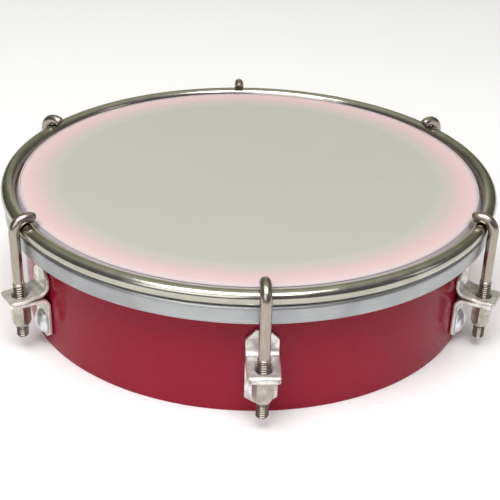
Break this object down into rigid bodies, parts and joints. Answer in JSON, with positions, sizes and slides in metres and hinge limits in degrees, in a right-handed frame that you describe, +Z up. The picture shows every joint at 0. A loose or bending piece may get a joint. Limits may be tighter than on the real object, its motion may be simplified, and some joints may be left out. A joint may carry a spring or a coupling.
{
  "type": "tamborim frame drum",
  "caption": "Small single-headed frame drum: open round shell, plastic head on a metal hoop, and a round wire rim pulled down by hooks and tuning nuts.",
  "frame": {"origin": "centre of the shell's open bottom edge", "axes": "+Z up along the drum's axis to the head; station 1 is on -Y and the stations run counter-clockwise seen from above"},
  "size_m": [0.1654, 0.1786, 0.0474],
  "materials": {
    "red_shell": "solid red, high gloss",
    "drumhead_film": "coated milky polyester film",
    "hoop_aluminium": "satin, drawn lengthwise",
    "hoop_resin": "cast epoxy",
    "chrome_rod": "polished",
    "nickel_steel": "bright nickel plate, slightly worn",
    "rivet_aluminium": "polished"
  },
  "bodies": {
    "shell": {"drum_shell": "red_shell", "lug_bracket_1": "nickel_steel", "lug_bracket_2": "nickel_steel", "lug_bracket_3": "nickel_steel", "lug_bracket_4": "nickel_steel", "lug_bracket_5": "nickel_steel", "lug_bracket_6": "nickel_steel", "lug_rivet_1": "rivet_aluminium", "lug_rivet_2": "rivet_aluminium", "lug_rivet_3": "rivet_aluminium", "lug_rivet_4": "rivet_aluminium", "lug_rivet_5": "rivet_aluminium", "lug_rivet_6": "rivet_aluminium", "rivet_washer_1": "nickel_steel", "rivet_washer_2": "nickel_steel", "rivet_washer_3": "nickel_steel", "rivet_washer_4": "nickel_steel", "rivet_washer_5": "nickel_steel", "rivet_washer_6": "nickel_steel"},
    "head": {"head_film": "drumhead_film", "head_hoop": "hoop_aluminium", "head_hoop_resin": "hoop_resin"},
    "rim": {"tension_rim": "chrome_rod"},
    "hook_1": {"tension_hook_1": "chrome_rod"},
    "nut_1": {"tension_nut_1": "nickel_steel"},
    "hook_2": {"tension_hook_2": "chrome_rod"},
    "nut_2": {"tension_nut_2": "nickel_steel"},
    "hook_3": {"tension_hook_3": "chrome_rod"},
    "nut_3": {"tension_nut_3": "nickel_steel"},
    "hook_4": {"tension_hook_4": "chrome_rod"},
    "nut_4": {"tension_nut_4": "nickel_steel"},
    "hook_5": {"tension_hook_5": "chrome_rod"},
    "nut_5": {"tension_nut_5": "nickel_steel"},
    "hook_6": {"tension_hook_6": "chrome_rod"},
    "nut_6": {"tension_nut_6": "nickel_steel"}
  },
  "joints": [
    {"name": "rim_travel", "type": "slide", "parent": "shell", "child": "rim", "axis": [0, 0, 1], "range_m": [0, 0.002]},
    {"name": "head_travel", "type": "slide", "parent": "shell", "child": "head", "axis": [0, 0, 1], "range_m": [0, 0.002]},
    {"name": "nut_1_turn", "type": "hinge", "parent": "shell", "child": "nut_1", "pos_m": [0, -0.0845, 0.014], "axis": [0, 0, -1], "range_deg": [0, 3150]},
    {"name": "hook_1_lift", "type": "slide", "parent": "rim", "child": "hook_1", "axis": [0, 0, 1], "range_m": [0, 0.007]},
    {"name": "nut_2_turn", "type": "hinge", "parent": "shell", "child": "nut_2", "pos_m": [0.07318, -0.04225, 0.014], "axis": [0, 0, -1], "range_deg": [0, 3150]},
    {"name": "hook_2_lift", "type": "slide", "parent": "rim", "child": "hook_2", "axis": [0, 0, 1], "range_m": [0, 0.007]},
    {"name": "nut_3_turn", "type": "hinge", "parent": "shell", "child": "nut_3", "pos_m": [0.07318, 0.04225, 0.014], "axis": [0, 0, -1], "range_deg": [0, 3150]},
    {"name": "hook_3_lift", "type": "slide", "parent": "rim", "child": "hook_3", "axis": [0, 0, 1], "range_m": [0, 0.007]},
    {"name": "nut_4_turn", "type": "hinge", "parent": "shell", "child": "nut_4", "pos_m": [0, 0.0845, 0.014], "axis": [0, 0, -1], "range_deg": [0, 3150]},
    {"name": "hook_4_lift", "type": "slide", "parent": "rim", "child": "hook_4", "axis": [0, 0, 1], "range_m": [0, 0.007]},
    {"name": "nut_5_turn", "type": "hinge", "parent": "shell", "child": "nut_5", "pos_m": [-0.07318, 0.04225, 0.014], "axis": [0, 0, -1], "range_deg": [0, 3150]},
    {"name": "hook_5_lift", "type": "slide", "parent": "rim", "child": "hook_5", "axis": [0, 0, 1], "range_m": [0, 0.007]},
    {"name": "nut_6_turn", "type": "hinge", "parent": "shell", "child": "nut_6", "pos_m": [-0.07318, -0.04225, 0.014], "axis": [0, 0, -1], "range_deg": [0, 3150]},
    {"name": "hook_6_lift", "type": "slide", "parent": "rim", "child": "hook_6", "axis": [0, 0, 1], "range_m": [0, 0.007]}
  ],
  "couplings": [
    {"joint": "head_travel", "follows": "rim_travel", "ratio": 1},
    {"joint": "nut_1_turn", "follows": "hook_1_lift", "rad_per_m": 7854},
    {"joint": "nut_2_turn", "follows": "hook_2_lift", "rad_per_m": 7854},
    {"joint": "nut_3_turn", "follows": "hook_3_lift", "rad_per_m": 7854},
    {"joint": "nut_4_turn", "follows": "hook_4_lift", "rad_per_m": 7854},
    {"joint": "nut_5_turn", "follows": "hook_5_lift", "rad_per_m": 7854},
    {"joint": "nut_6_turn", "follows": "hook_6_lift", "rad_per_m": 7854}
  ]
}
